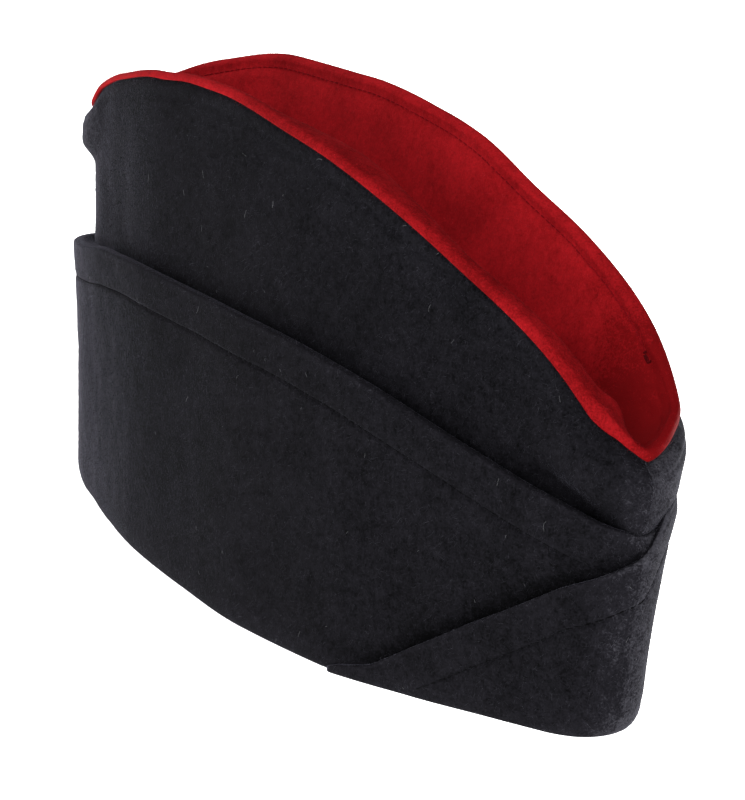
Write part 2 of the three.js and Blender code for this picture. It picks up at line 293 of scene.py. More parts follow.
# %% [markdown]
# ## Relief of felted cloth
#
# Felted cloth is never quite flat: it keeps soft lumps from wear and pressing. A lattice of random
# heights, blended smoothly, gives such lumps at any size. The draws are seeded, so that every run makes
# the same cap.

# %% Random relief
LATTICE = 64
TINY = 1e-9


def relief(u, v, size, seed):
    """Soft lumps between -1 and 1: random heights at the corners of squares of the given size, blended
    by smooth steps across each square."""
    heights = np.random.default_rng(seed).uniform(-1, 1, (LATTICE, LATTICE))
    a, b = np.asarray(u) / size, np.asarray(v) / size
    i, j = np.floor(a).astype(int), np.floor(b).astype(int)
    s, t = ease(a - i, 0, 1), ease(b - j, 0, 1)

    def corner(p, q):
        return heights[p % LATTICE, q % LATTICE]

    return lerp(lerp(corner(i, j), corner(i + 1, j), s), lerp(corner(i, j + 1), corner(i + 1, j + 1), s), t)


def lumps(u, v, sizes, seed):
    """Coarse and fine relief added up; sizes holds the height and the width of each."""
    (coarse, coarse_width), (fine, fine_width) = sizes
    return coarse * relief(u, v, coarse_width, seed) + fine * relief(u, v, fine_width, seed + 1)


def run_along(net, axis=0):
    """Distance travelled along a net's rows or columns: the running sum of the steps between points."""
    steps = np.linalg.norm(np.diff(net, axis=axis), axis=-1)
    start = np.zeros_like(np.take(steps, [0], axis=axis))
    return np.concatenate([start, np.cumsum(steps, axis=axis)], axis=axis)


def unit(vectors):
    """Vectors scaled to length one."""
    return vectors / np.maximum(np.linalg.norm(vectors, axis=-1, keepdims=True), TINY)


def net_normals(net, outward):
    """Unit normals of a net: the cross product of its slopes along the rows and along the columns,
    turned so that they agree with a rough outward direction."""
    normal = unit(np.cross(np.gradient(net, axis=0), np.gradient(net, axis=1)))
    return normal * np.sign((normal * outward).sum())


print("relief at three places:", relief(np.array([0.0, 5, 9]), 0.0, 8, 1).round(2).tolist())

# %% [markdown]
# ## The wool's finish
#
# Felted wool is woven, then shrunk and brushed until the weave is hidden under a matt nap of short
# fibres. Two things tell it from plain paint: tangled streaks, flecks and tufts of fibre, from a
# fraction of a millimetre to a few millimetres wide, and the faint sheen of fibres seen from the side.
# The colour also carries painted light: painted glow at the folded ends and edges, where the outlines
# catch light, and painted shade on the red top and above the flap's edge. Streaks, tufts and painted
# light are the same on all the cloths, so they are one shader group, placed in each material with its
# own colours. Sheen is a plain value on each material's own shader.

# %% Node helpers
def link(tree, source, target):
    """Joins an output socket to an input socket."""
    tree.links.new(source, target)


def maths(tree, operation, a, b):
    """A Math node; numbers are set on it and sockets are linked to it."""
    node = tree.nodes.new("ShaderNodeMath")
    node.operation = operation
    for socket, value in zip(node.inputs, (a, b)):
        if isinstance(value, (int, float)):
            socket.default_value = value
        else:
            link(tree, value, socket)
    return node.outputs[0]


def vector_maths(tree, operation, a, b):
    """A Vector Math node on two vectors; a tuple is set on it and a socket is linked to it."""
    node = tree.nodes.new("ShaderNodeVectorMath")
    node.operation = operation
    for socket, value in zip(node.inputs, (a, b)):
        if isinstance(value, tuple):
            socket.default_value = value
        else:
            link(tree, value, socket)
    return node.outputs[0]


def noise(tree, place, scale, detail):
    """A Noise Texture node that reads a place; scale is in bumps per metre."""
    node = tree.nodes.new("ShaderNodeTexNoise")
    node.inputs["Scale"].default_value = scale
    node.inputs["Detail"].default_value = detail
    link(tree, place, node.inputs["Vector"])
    return node


# %% A shader group for the nap
CLOUD_SCALE, TUFT_SCALE, FLECK_SCALE, TANGLE_SCALE = 70.0, 480.0, 1900.0, 500.0
CLOUD_DETAIL, TUFT_DETAIL, FLECK_DETAIL, STREAK_DETAIL, TANGLE_DETAIL = 3.0, 2.0, 2.0, 2.0, 1.0
STREAK_SCALES = ((2600.0, 2600.0, 700.0), (1100.0, 1100.0, 2600.0))
TANGLE = (0.0012, 0.0012, 0.0012)
NOISE_MEAN = 0.5
HALF_GREY = (NOISE_MEAN, NOISE_MEAN, NOISE_MEAN)
FIBRE_HEIGHT, FLECK_HEIGHT, MEAN_HEIGHT = 0.6, 0.5, 0.586
FINE_SHADE, TUFT_SHADE, CLOUD_SHADE, PAINTED_LIGHT_SHADE = 2.3, 0.85, 0.7, 0.35
MEAN_SHADE, SHADE_SPAN = 0.48, 0.5

nap_group = bpy.data.node_groups.new("wool_nap", "ShaderNodeTree")
nap_group.interface.new_socket("Place", in_out="INPUT", socket_type="NodeSocketVector")
for socket, way in (("Painted_light_and_tone", "INPUT"), ("Grain", "INPUT"), ("Shade", "OUTPUT"), ("Height", "OUTPUT")):
    nap_group.interface.new_socket(socket, in_out=way, socket_type="NodeSocketFloat")
nap_in = nap_group.nodes.new("NodeGroupInput")
nap_out = nap_group.nodes.new("NodeGroupOutput")
place, rub, grain = (nap_in.outputs[socket] for socket in ("Place", "Painted_light_and_tone", "Grain"))


def times(a, b):
    """Product of two values in the nap group."""
    return maths(nap_group, "MULTIPLY", a, b)


def plus(a, b):
    """Sum of two values in the nap group."""
    return maths(nap_group, "ADD", a, b)


def spots(scale, detail):
    """Noise about its mean, at a scale, in the nap group."""
    return maths(nap_group, "SUBTRACT", noise(nap_group, place, scale, detail).outputs["Fac"], NOISE_MEAN)


wander = noise(nap_group, place, TANGLE_SCALE, TANGLE_DETAIL).outputs["Color"]
tangle = vector_maths(nap_group, "MULTIPLY", vector_maths(nap_group, "SUBTRACT", wander, HALF_GREY), TANGLE)
bent = vector_maths(nap_group, "ADD", place, tangle)
streaks = [
    noise(nap_group, vector_maths(nap_group, "MULTIPLY", bent, scales), 1.0, STREAK_DETAIL).outputs["Fac"]
    for scales in STREAK_SCALES
]
fleck = noise(nap_group, place, FLECK_SCALE, FLECK_DETAIL).outputs["Fac"]
height = plus(times(maths(nap_group, "MAXIMUM", *streaks), FIBRE_HEIGHT), times(fleck, FLECK_HEIGHT))
fine = times(maths(nap_group, "SUBTRACT", height, MEAN_HEIGHT), FINE_SHADE)
fine = times(plus(fine, times(spots(TUFT_SCALE, TUFT_DETAIL), TUFT_SHADE)), grain)
mottle = plus(fine, times(spots(CLOUD_SCALE, CLOUD_DETAIL), CLOUD_SHADE))
# Painted light comes in here: the painted glow and painted shade that each piece carries, and each fibre's
# own random tone.
shade = times(plus(plus(mottle, times(rub, PAINTED_LIGHT_SHADE)), MEAN_SHADE), SHADE_SPAN)
link(nap_group, shade, nap_out.inputs["Shade"])
link(nap_group, height, nap_out.inputs["Height"])
print("nap group:", len(nap_group.nodes), "nodes")

# %% Cloths and threads
ROUGHNESS = (0.85, 1.0)
SPECULAR, SHEEN_ROUGHNESS = 0.02, 0.12
BUMP_DEPTH = 0.0003


def wool(name, deep, pale, sheen, sheen_tint, bump_strength, grain=1.0, painted_light=None):
    """Material: a ramp from deep to pale, and on to a paler colour for painted glow, by the nap's shade;
    rough, bumped by the nap's height, and with sheen."""
    material = bpy.data.materials.new(name)
    material.use_nodes = True
    tree = material.node_tree
    shader = tree.nodes["Principled BSDF"]
    coordinates = tree.nodes.new("ShaderNodeTexCoord")
    rub = tree.nodes.new("ShaderNodeAttribute")
    rub.attribute_name = "rub"
    nap = tree.nodes.new("ShaderNodeGroup")
    nap.node_tree = nap_group
    link(tree, coordinates.outputs["Object"], nap.inputs["Place"])
    link(tree, rub.outputs["Fac"], nap.inputs["Painted_light_and_tone"])
    nap.inputs["Grain"].default_value = grain
    ramp = tree.nodes.new("ShaderNodeValToRGB")
    ramp.color_ramp.elements[0].color = (*deep, 1)
    ramp.color_ramp.elements[1].color = (*(painted_light or pale), 1)
    ramp.color_ramp.elements.new(SHADE_SPAN).color = (*pale, 1)
    link(tree, nap.outputs["Shade"], ramp.inputs["Fac"])
    link(tree, ramp.outputs["Color"], shader.inputs["Base Color"])
    rough = tree.nodes.new("ShaderNodeMapRange")
    rough.inputs["To Min"].default_value, rough.inputs["To Max"].default_value = ROUGHNESS
    link(tree, nap.outputs["Shade"], rough.inputs["Value"])
    link(tree, rough.outputs["Result"], shader.inputs["Roughness"])
    relief_node = tree.nodes.new("ShaderNodeBump")
    relief_node.inputs["Strength"].default_value = bump_strength
    relief_node.inputs["Distance"].default_value = BUMP_DEPTH
    link(tree, nap.outputs["Height"], relief_node.inputs["Height"])
    link(tree, relief_node.outputs["Normal"], shader.inputs["Normal"])
    shader.inputs["Specular IOR Level"].default_value = SPECULAR
    shader.inputs["Sheen Weight"].default_value = sheen
    shader.inputs["Sheen Roughness"].default_value = SHEEN_ROUGHNESS
    shader.inputs["Sheen Tint"].default_value = (*sheen_tint, 1)
    return material


dark_wool = wool(
    "dark_wool", (0.0010, 0.0010, 0.0012), (0.0084, 0.0080, 0.0102), 0.18, (0.74, 0.72, 0.94), 0.9,
    grain=1.1, painted_light=(0.048, 0.047, 0.056),
)
red_wool = wool(
    "red_wool", (0.110, 0.0020, 0.0028), (0.39, 0.0095, 0.0135), 0.012, (1.0, 0.40, 0.42), 0.6, grain=0.5
)
dark_fibre = wool(
    "dark_fibre", (0.005, 0.005, 0.0062), (0.044, 0.043, 0.053), 0.03, (0.8, 0.8, 0.95), 0.1,
    painted_light=(0.130, 0.127, 0.148),
)
red_fibre = wool("red_fibre", (0.14, 0.004, 0.006), (0.40, 0.025, 0.034), 0.02, (1.0, 0.45, 0.45), 0.1)
dark_thread = wool("dark_thread", (0.001, 0.001, 0.001), (0.006, 0.006, 0.007), 0.02, (0.8, 0.8, 0.9), 0.3)
red_thread = wool("red_thread", (0.08, 0.0015, 0.003), (0.20, 0.004, 0.007), 0.02, (1.0, 0.4, 0.4), 0.3)
tack_thread = wool("tack_thread", (0.02, 0.001, 0.001), (0.06, 0.002, 0.003), 0.02, (1.0, 0.4, 0.4), 0.3)
pale_lint = wool("pale_lint", (0.04, 0.04, 0.044), (0.16, 0.16, 0.17), 0.05, (1.0, 1.0, 1.0), 0.1)
print("finishes:", sorted(material.name for material in bpy.data.materials))

# %% [markdown]
# ## Crown sides
#
# Each side is one panel of dark cloth from the foot to the rim, sewn to its twin at the back and the
# front. It is not flat: a small knob stands out where the seams meet at the back, the cloth bulges over
# the cuff at the front, and sinks behind the cuff's edge beside that. Smooth windows push the wall out or
# in at those places, which is easier to steer than sculpting. The flap of the cuff presses the cloth under
# its slanting edge, and near the table both ends curve in. Just under the red edge the cloth turns in to
# the seam.

# %% Folds of the crown
CROWN_CLOTH = 1.4
CROWN_INSIDE = 1.6
CROWN_OUTSIDE = CROWN_INSIDE + CROWN_CLOTH
CROWN_FOOT_Z = 2.1
# The knob and the bulge: loop and up share of the middle, reach round, rise up, push, flat share.
FOLDS = np.array([
    [0.00, 0.925, 0.210, 0.080, 3.4, 0.25],
    [1.00, 0.835, 0.230, 0.200, 4.6, 0.20],
])
# The flap's slanting edge: loop share on the right, counted on past the nose, and height.
SLANT = np.array([
    [0.648, 2.0], [0.655, 3.0], [0.666, 3.9], [0.682, 5.4], [0.700, 8.8], [0.740, 16.2], [0.780, 23.0],
    [0.820, 28.4], [0.860, 33.3], [0.900, 37.4], [0.940, 40.3], [0.970, 42.8], [1.000, 45.7], [1.010, 47.6],
    [1.020, 51.0], [1.032, 55.2], [1.060, 58.2], [1.130, 61.0], [1.250, 67.4], [1.360, 75.4],
])
slant_edge = smooth_curve(SLANT[:, 0], SLANT[:, 1])
POCKET, POCKET_LOOP, POCKET_REACH, POCKET_HEIGHT, POCKET_FLAT = 4.0, 0.90, 0.14, 5.5, 0.3
POCKET_ENDS = (0.95, 1)
# The last value is painted shadow in the colour above the flap's edge.
PRESS_DEPTH, PRESS_WIDTH, FLAP_EDGE_SHADOW = 1.3, 5.0, 0.9
PRESS_OVER_TABLE, PRESS_UNDER_EDGE, PRESS_FROM = (3, 9), (2, 10), (0.59, 0.70)
BACK_TUCK, NOSE_TUCK, TUCK_REACH, TUCK_HEIGHT = 1.0, 3.4, 0.12, 10.0
SIDE_TUCK, SIDE_TUCK_HEIGHT = 0.9, 5.0


def window(distance, flat):
    """1 over the flat share of the way from the middle, then a smooth step to nothing at a distance of 1."""
    return ease(1 - np.abs(distance), 0, 1 - flat)


def crown_push(side, loop, z):
    """Sum over the folds: the push times one window round the loop and one up the wall. On the right a
    pocket is taken off, a bell over the height above and below the cuff's edge."""
    up = z / measure["top"](loop)
    total = 0
    for fold_loop, fold_up, reach, rise, push, flat in FOLDS:
        total = total + push * window((loop - fold_loop) / reach, flat) * window((up - fold_up) / rise, flat)
    pocket = window((loop - POCKET_LOOP) / POCKET_REACH, POCKET_FLAT) * (1 - ease(loop, *POCKET_ENDS))
    pocket = pocket * bump(z, measure["cuff"](loop), POCKET_HEIGHT)
    return total - (side == RIGHT) * POCKET * pocket


def flap_press(loop, z):
    """How far the cloth on the right is pressed in at the slanting edge of the flap: a bell over the height
    above that edge, fading towards the table, towards the cuff's own edge and behind the flap's end."""
    above = np.maximum(z - slant_edge(loop), 0)
    under_edge = measure["cuff"](np.minimum(loop, 1)) - z
    room = ease(z, *PRESS_OVER_TABLE) * ease(under_edge, *PRESS_UNDER_EDGE) * ease(loop, *PRESS_FROM)
    return PRESS_DEPTH * bump(above, 0, PRESS_WIDTH) * room


def foot_tuck(loop, z):
    """How far the cloth curves in near the table, most at the two ends of the cap: squares of what is left
    below the heights where the curves start."""
    ends = lerp(BACK_TUCK * (1 - ease(loop, 0, TUCK_REACH)), NOSE_TUCK, ease(loop, 1 - TUCK_REACH, 1))
    sides = SIDE_TUCK * (1 - np.clip(z / SIDE_TUCK_HEIGHT, 0, 1)) ** 2
    return ends * (1 - np.clip(z / TUCK_HEIGHT, 0, 1)) ** 2 + sides


# %% Crown side panels
CROWN_ROWS = 190
COARSE_COLUMNS, FINE_COLUMNS = 9, 72
CROWN_SHARES = np.concatenate([
    np.linspace(0, 0.5, COARSE_COLUMNS, endpoint=False), np.linspace(0.5, 1, FINE_COLUMNS),
])[None, :]
CROWN_LUMPS = ((0.35, 22), (0.12, 6))
LUMPS_OVER_CUFF, LUMPS_UNDER_SEAM = 8, (1, 7)
RIM_STITCH, RIM_DENT, RIM_DENT_WIDTH = 4.6, 0.40, 0.65
TURN_IN, TURN_FROM, TUCK_UP = 0.9, 1.8, 0.5
SEAM_DENT, SEAM_WIDTH, SEAM_FADE = 0.10, 0.9, 9.0
SHOULDER, END_CROWDING = 3.5, 0.7
# Painted glow: paler colour at the two folded ends of the cap and beside the nose on the left, where the
# outlines catch light.
BACK_GLOW, BACK_GLOW_SPAN, NOSE_GLOW, NOSE_GLOW_SPAN = 4.0, (0.02, 0.26), 1.5, (0.93, 1.0)
FLAP_GLOW, FLAP_GLOW_AT, FLAP_GLOW_AT_WIDTH = 2.2, 0.935, 0.060
cloth = {}


def gathered(count):
    """Shares from 0 to 1 that crowd at both ends: even shares less a part of a full sine wave."""
    even = np.linspace(0, 1, count + 1)[:, None]
    return even - END_CROWDING * np.sin(2 * np.pi * even) / (2 * np.pi)


def painted_edge_glow(side, loop):
    """Painted glow along the outlines: pale colour in smooth steps of the loop share at the cap's two folded
    ends, and on the left a bell beside the nose."""
    ends = BACK_GLOW * (1 - ease(loop, *BACK_GLOW_SPAN)) + NOSE_GLOW * ease(loop, *NOSE_GLOW_SPAN)
    return ends + FLAP_GLOW * bump(loop, FLAP_GLOW_AT, FLAP_GLOW_AT_WIDTH) * (side == LEFT)


def crown_side(name, node, side, seed):
    """Panel between two walls: the outer one pushed by folds and lumps, dented along its seams and turned
    in under the red edge, the inner one pushed by the folds alone."""
    loop = gathered(CROWN_ROWS)
    seam_z = crest_height(side, loop) - roll[side]["band"](loop)
    z = lerp(CROWN_FOOT_Z, seam_z + TUCK_UP, CROWN_SHARES)
    push = crown_push(side, loop, z) * ease(seam_z - z, -TUCK_UP, SHOULDER) - foot_tuck(loop, z)
    push = push - (side == RIGHT) * flap_press(loop, z)
    u = run_along(wall(side, loop, z, CROWN_OUTSIDE + push))
    from_seam = np.minimum(u, u[-1:] - u)
    free = ease(z, measure["cuff"](loop), measure["cuff"](loop) + LUMPS_OVER_CUFF)
    free = free * ease(seam_z - z, *LUMPS_UNDER_SEAM) * ease(from_seam, 0, SEAM_FADE)
    lumpy = lumps(u, z, CROWN_LUMPS, seed) * free
    dents = RIM_DENT * bump(seam_z - z, RIM_STITCH, RIM_DENT_WIDTH)
    dents = dents + SEAM_DENT * (1 - loop) * bump(from_seam, 0, SEAM_WIDTH)
    turned = TURN_IN * ease(z, seam_z - TURN_FROM, seam_z + TUCK_UP)
    outer = wall(side, loop, z, CROWN_OUTSIDE + push + lumpy - dents - turned)
    inner = wall(side, loop, z, CROWN_INSIDE + push)
    points, faces, lids = shell(outer, inner)
    # Painted glow in the crown's colour, the same at every height.
    painted_light = painted_edge_glow(side, loop) + 0 * z
    normals = net_normals(outer, outer - inner)
    cloth[name] = dict(net=outer, normals=normals, below_seam=seam_z - z, painted_light=painted_light)
    rub = np.concatenate([painted_light, 0 * painted_light], axis=1)
    piece = new_piece(name, points, faces, dark_wool, "dark_wool", lids, rub=rub)
    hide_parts(node)
    return piece


RIGHT_SEED, LEFT_SEED = 11, 21
crown_right = crown_side("crown_side_right", "crown_right", RIGHT, RIGHT_SEED)
crown_left = crown_side("crown_side_left", "crown_left", LEFT, LEFT_SEED)

# %% [markdown]
# ## The red top
#
# The top is a long boat-shaped panel. Its edge is sewn to the upper edge of the two sides, rolls over it,
# and the middle sinks into a valley, so that the cap folds flat. Half of its section is one line: up the
# outer band, over the crest, across the roll and down to the spine of the valley. That line is carried
# round the whole rim as a ring, so that the tips close by themselves, and the two halves share the spine.

# %% Line across half of the top panel
TOP_CLOTH = 1.3
CREST_OUT = (CROWN_INSIDE + CROWN_OUTSIDE) / 2
BAND_PROUD = 1.4
TIP_FLATTEN_WIDTH = 5
SPINE_MARGIN, SPINE_DROP = 4, 2.3
TIP_HOLLOW, TIP_ASIDE, TIP_HOLLOW_LOOP, TIP_HOLLOW_WIDTH = 1.0, 4.0, 0.92, 0.05
TOP_ROWS = 210
BAND_STEPS, ROLL_STEPS, VALLEY_STEPS = 8, 22, 34


def top_half(side, loop):
    """Points from the seam to the spine: a quarter ellipse up the band, a quarter ellipse inward over the
    roll, then a straight plan line to the spine whose height falls as a power of the share that is left."""
    crest, is_open = crest_height(side, loop), ease(measure["rim"](loop), 0, TIP_FLATTEN_WIDTH)
    band, wide = roll[side]["band"](loop), roll[side]["wide"](loop)
    turn = np.linspace(0, np.pi / 2, BAND_STEPS + 1)[None, :]
    outside = wall(side, loop, crest - band * (1 - np.sin(turn)), CREST_OUT + BAND_PROUD * np.cos(turn))
    turn = np.linspace(0, np.pi / 2, ROLL_STEPS + 1)[None, 1:]
    fall = is_open * roll[side]["fall"](loop)
    inside = wall(side, loop, crest - fall * (1 - np.cos(turn)), CREST_OUT - wide * np.sin(turn))
    spine_x = lerp(RIM_BACK_X + SPINE_MARGIN, RIM_FRONT_X - SPINE_MARGIN, along_of(loop))
    spine_z = measure["top"](loop) - is_open * SPINE_DROP - measure["sink"](loop)
    spine_z = spine_z - TIP_HOLLOW * bump(loop, TIP_HOLLOW_LOOP, TIP_HOLLOW_WIDTH)
    spine_y = measure["drift"](loop) - TIP_ASIDE * bump(loop, TIP_HOLLOW_LOOP, TIP_HOLLOW_WIDTH)
    spine = np.stack([spine_x, spine_y, spine_z], -1)
    share = np.linspace(0, 1, VALLEY_STEPS + 1)[None, 1:, None]
    valley = lerp(inside[:, -1:], spine, share)
    valley[..., 2] = lerp(spine[..., 2], inside[:, -1:, 2], (1 - share[..., 0]) ** roll[side]["steep"](loop))
    return np.concatenate([outside, inside, valley], axis=1)


loop = np.linspace(0, 1, TOP_ROWS + 1)[:, None]
top_net = np.concatenate([top_half(RIGHT, loop), top_half(LEFT, loop)[-2:0:-1]])
top_loop = np.concatenate([loop, loop[-2:0:-1]])
is_left = (np.arange(len(top_net)) > TOP_ROWS)[:, None]
print("ring of the top:", top_net.shape[:2], "points")

# %% Seam dent, lumps and thickness
TOP_STITCH = 4.8
STITCH_ENDS = 0.822
DENT_FAR, DENT_WIDTH, DENT_LOSS, DENT_FADE = 0.65, 0.85, 0.7, 0.03
TOP_LUMPS, TOP_SEED = ((0.35, 14), (0.12, 5)), 31
LUMPS_FROM_CREST, LUMPS_FROM_SPINE, OFF_TIPS = (1, 5), (0, 6), (3, 9)
# Painted shade darkens the near lip and the far face towards the front tip.
LIP_SHADE, LIP_SHADE_WIDTH, LIP_FROM = 1.0, 9.0, (0.35, 0.55)
FAR_SHADE, FAR_FROM = 1.6, (0.68, 0.84)
from_crest = run_along(top_net, axis=1)
from_crest = from_crest - from_crest[:, [BAND_STEPS]]
top_u = run_along(top_net)
ahead = np.roll(top_net, -1, axis=0) - np.roll(top_net, 1, axis=0)
top_normals = unit(np.cross(ahead, np.gradient(top_net, axis=1)))
top_normals *= np.sign(top_normals[:, BAND_STEPS, 2].sum())
off_tips = ease(measure["rim"](top_loop), *OFF_TIPS)
sewn = is_left * DENT_FAR * (1 - DENT_LOSS * ease(top_loop, STITCH_ENDS, STITCH_ENDS + DENT_FADE))
dent = sewn * bump(from_crest, TOP_STITCH, DENT_WIDTH) * off_tips
to_spine = from_crest[:, -1:] - from_crest
lumpy = lumps(top_u, from_crest, TOP_LUMPS, TOP_SEED)
lumpy = lumpy * ease(from_crest, *LUMPS_FROM_CREST) * ease(to_spine, *LUMPS_FROM_SPINE) * off_tips
top_cloth = top_net + top_normals * (lumpy - dent)[..., None]

number = np.arange(top_net[..., 0].size).reshape(top_net.shape[:2])
number[TOP_ROWS + 1 :, -1] = number[TOP_ROWS - 1 : 0 : -1, -1]
top_faces = number.ravel()[grid_faces(*top_net.shape[:2], closed_rows=True)]
used, top_faces = np.unique(top_faces, return_inverse=True)
top_faces = top_faces.reshape(-1, 4)
top_points = top_cloth.reshape(-1, 3)[used]
first = top_points[top_faces[BAND_STEPS]]
looks_up = np.cross(first[1] - first[0], first[2] - first[0])[2] > 0
top_faces = top_faces if looks_up else top_faces[:, ::-1]
# Painted shade: darker on the near lip and on the far face towards the front tip.
on_lip = ~is_left * ease(top_loop, *LIP_FROM) * bump(np.maximum(from_crest, 0), 0, LIP_SHADE_WIDTH)
top_painted_light = -(LIP_SHADE * on_lip + FAR_SHADE * is_left * ease(top_loop, *FAR_FROM))
crown_top = new_piece("top_panel", top_points, top_faces, red_wool, "red_wool", rub=top_painted_light.ravel()[used])
thickness = crown_top.modifiers.new("cloth", "SOLIDIFY")
thickness.thickness = TOP_CLOTH * MM
thickness.offset = -1
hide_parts("crown_top")

# %% [markdown]
# ## The cuff
#
# The cuff is cloth turned up from the foot, so its section is a long U: a strip that lies under the
# crown, a soft fold on the table, the outer face, a rounded upper edge and a hem that is sewn down
# inside. The same section is carried round the cap. The right half runs under the left half at the
# front seam; the left half goes on round the nose, and its edge slants down to the foot.

# %% Sizes of the cuff
CUFF_CLOTH = 1.8
CUFF_INSIDE = CROWN_OUTSIDE + CLEARANCE
CUFF_LANE = CUFF_CLOTH + CLEARANCE
STRIP_INSIDE = 1.0
FOLD_RADIUS, FOLD_INSIDE, FOLD_LEAST = 2.2, 0.4, 0.3
FOLD_MOST, HEM_MOST, EDGE_MOST = 0.6, 0.5, 0.3
BACK_ROUND, BACK_REACH, FRONT_ROUND, FRONT_REACH = 6.5, 0.16, 7.5, 0.13
HEM_DEPTH, HEM_EXTRA, HEM_SPACE, HEM_STEP = 10.5, 0.9, 2.5, (2.0, 3.0)
BACK_HEM, BACK_HEM_ENDS = 3.2, (0.10, 0.32)
HEM_SWELL, HEM_DENT, HEM_DENT_WIDTH = 0.14, 0.42, 0.55
STAND_POWER = 1.1
BEND = 0.66
LANE_FROM, LANE_FULL = 0.90, 0.95
STRIP_FROM, STRIP_NONE = 0.80, 0.875
TUCK_END = 0.95
STRIP_POINTS, FOLD_POINTS, FACE_POINTS, HEM_POINTS, EDGE_POINTS = 4, 7, 30, 46, 7
EDGE_ROUND, EDGE_SQUARE, EDGE_TURN = 1.2, 0.55, 0.97
# Painted highlight along the cuff's upper edge and painted glow along its fold on the table.
EDGE_GLOW, EDGE_GLOW_WIDTH, FOOT_GLOW, FOOT_GLOW_WIDTH = 0.7, 1.4, 0.8, 5.0
FLARE_WIDTH, LEAN_FROM, LEAN_FULL = 8.0, 0.5, 7
CUFF_LUMPS = ((0.32, 24), (0.12, 6))
LUMPS_OVER_TABLE, LUMPS_UNDER_EDGE = (1, 8), (0.2, 2.0)
LEAST_STEP = 1e-6
print("cuff cloth:", CUFF_CLOTH, "mm, hem:", HEM_DEPTH, "mm")


